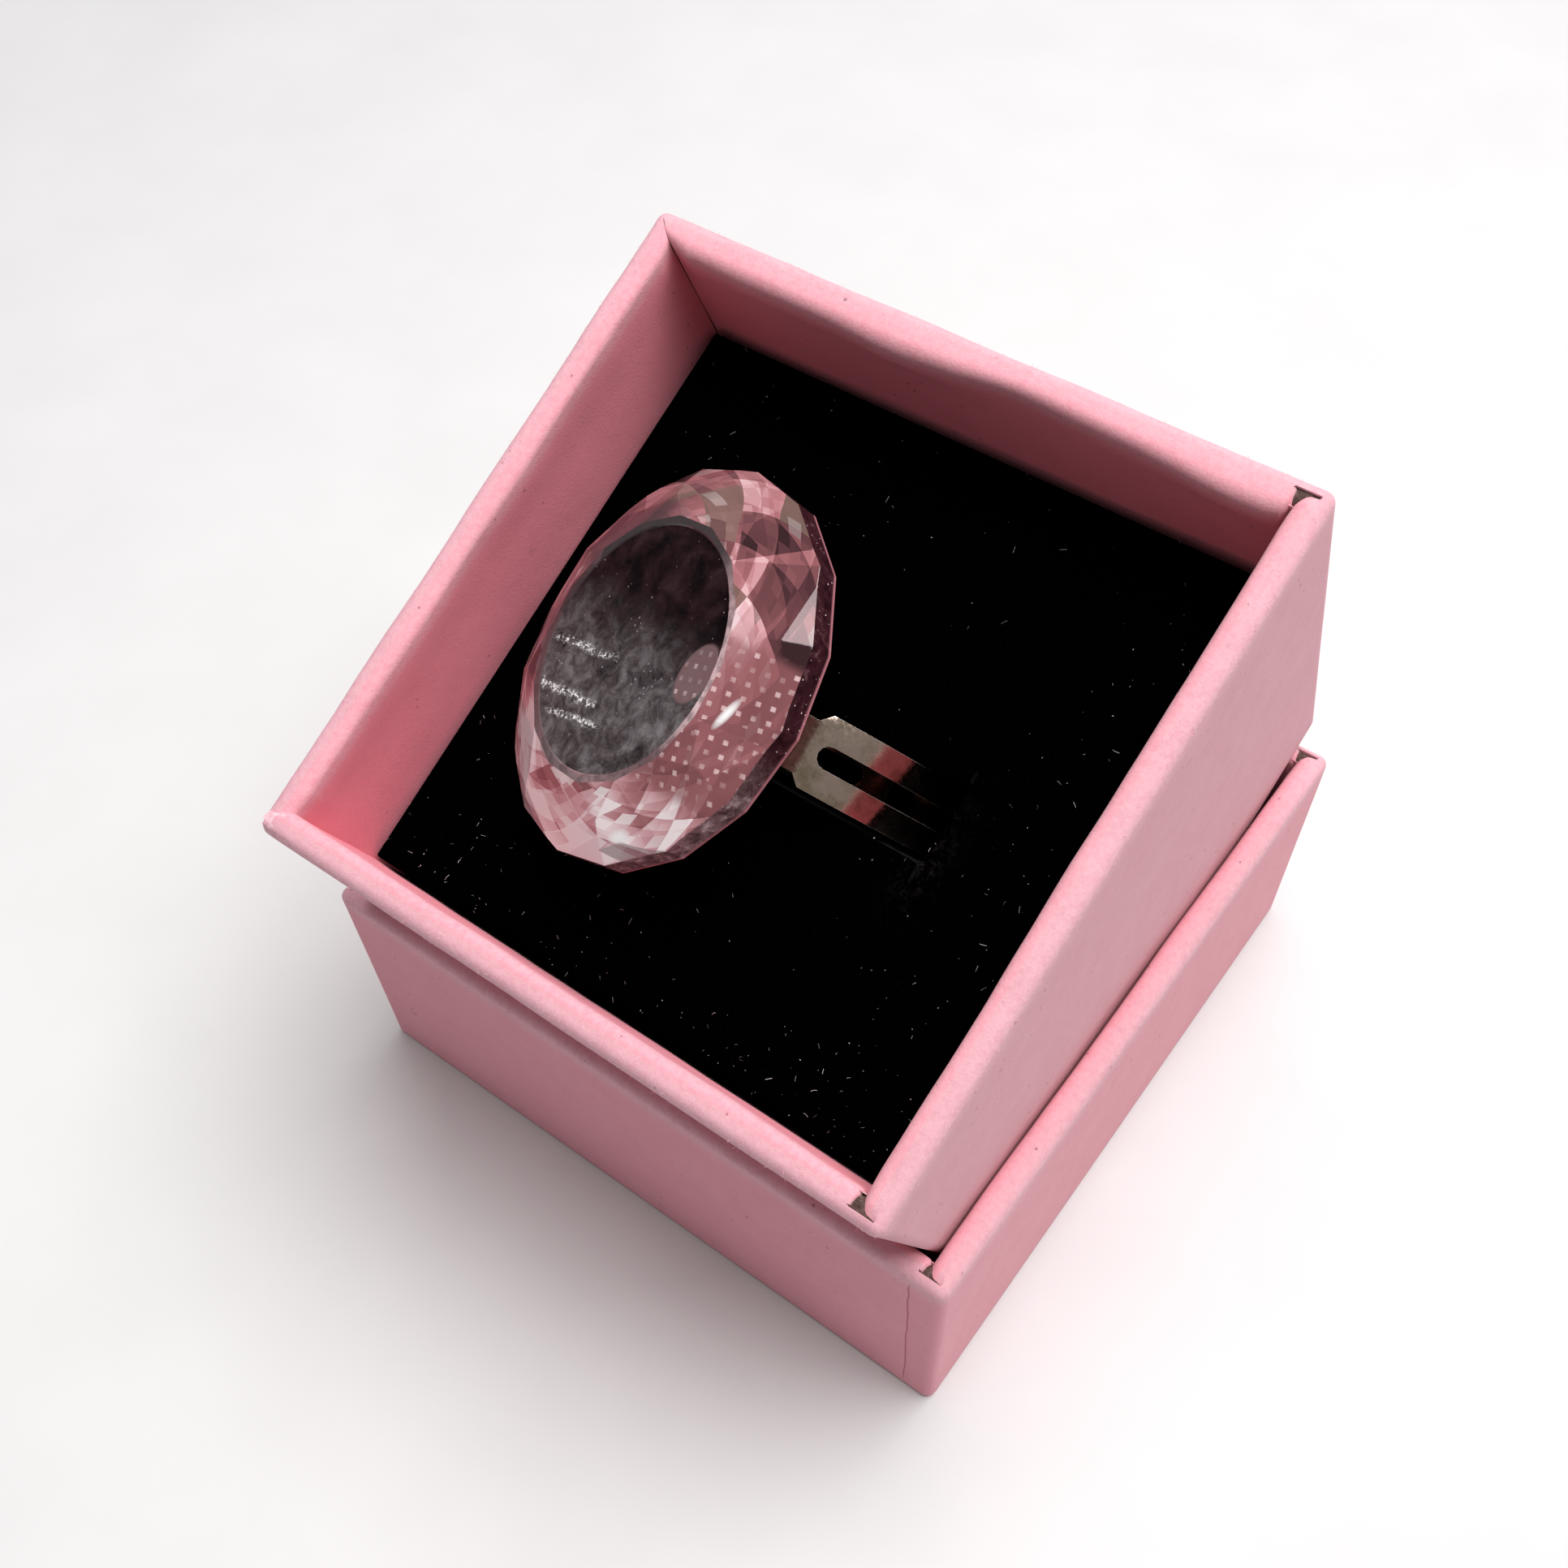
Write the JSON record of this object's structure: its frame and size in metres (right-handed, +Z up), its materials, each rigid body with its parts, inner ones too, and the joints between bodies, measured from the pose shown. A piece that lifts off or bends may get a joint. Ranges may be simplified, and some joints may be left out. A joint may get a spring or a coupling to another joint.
{
  "type": "jewelry box",
  "caption": "Square paper-wrapped ring box standing tipped in its upturned lid, with a slotted velvet foam pad that holds a large faceted crystal ring.",
  "frame": {"origin": "middle of the lid's underside, on the surface that the box stands on", "axes": "+Z up, +X along the lid's front wall to the right, +Y from the lid's front wall to its back wall"},
  "size_m": [0.05, 0.0549, 0.0506],
  "materials": {
    "pink_paper": "matte, fine grain",
    "grey_board": "rough grey board",
    "stay_paper": "brown paper tape",
    "sponge": "open-cell sponge",
    "black_velvet": "flocked velvet",
    "silver": "polished plating",
    "clear_cement": "cloudy clear cement",
    "crystal_glass": "clear cut crystal"
  },
  "bodies": {
    "lid": {"lid_board": "grey_board", "lid_stay_front_left": "stay_paper", "lid_stay_front_right": "stay_paper", "lid_stay_back_right": "stay_paper", "lid_stay_back_left": "stay_paper", "lid_wrap": "pink_paper", "lid_floor_liner": "pink_paper"},
    "base": {"base_board": "grey_board", "base_stay_front_left": "stay_paper", "base_stay_front_right": "stay_paper", "base_stay_back_right": "stay_paper", "base_stay_back_left": "stay_paper", "base_wrap": "pink_paper", "base_floor_liner": "pink_paper"},
    "insert": {"foam_pad": "sponge", "velvet_cover": "black_velvet"},
    "ring": {"ring_band": "silver", "ring_pad": "silver", "crystal_cement": "clear_cement", "crystal": "crystal_glass"}
  },
  "joints": [
    {"name": "base_lift", "type": "slide", "parent": "lid", "child": "base", "axis": [0, 0, 1], "range_m": [0, 0.035]},
    {"name": "insert_lift", "type": "slide", "parent": "base", "child": "insert", "axis": [0, -0.4054, 0.9141], "range_m": [0, 0.036]},
    {"name": "ring_lift", "type": "slide", "parent": "insert", "child": "ring", "axis": [0, -0.5507, 0.8347], "range_m": [0, 0.026]}
  ]
}
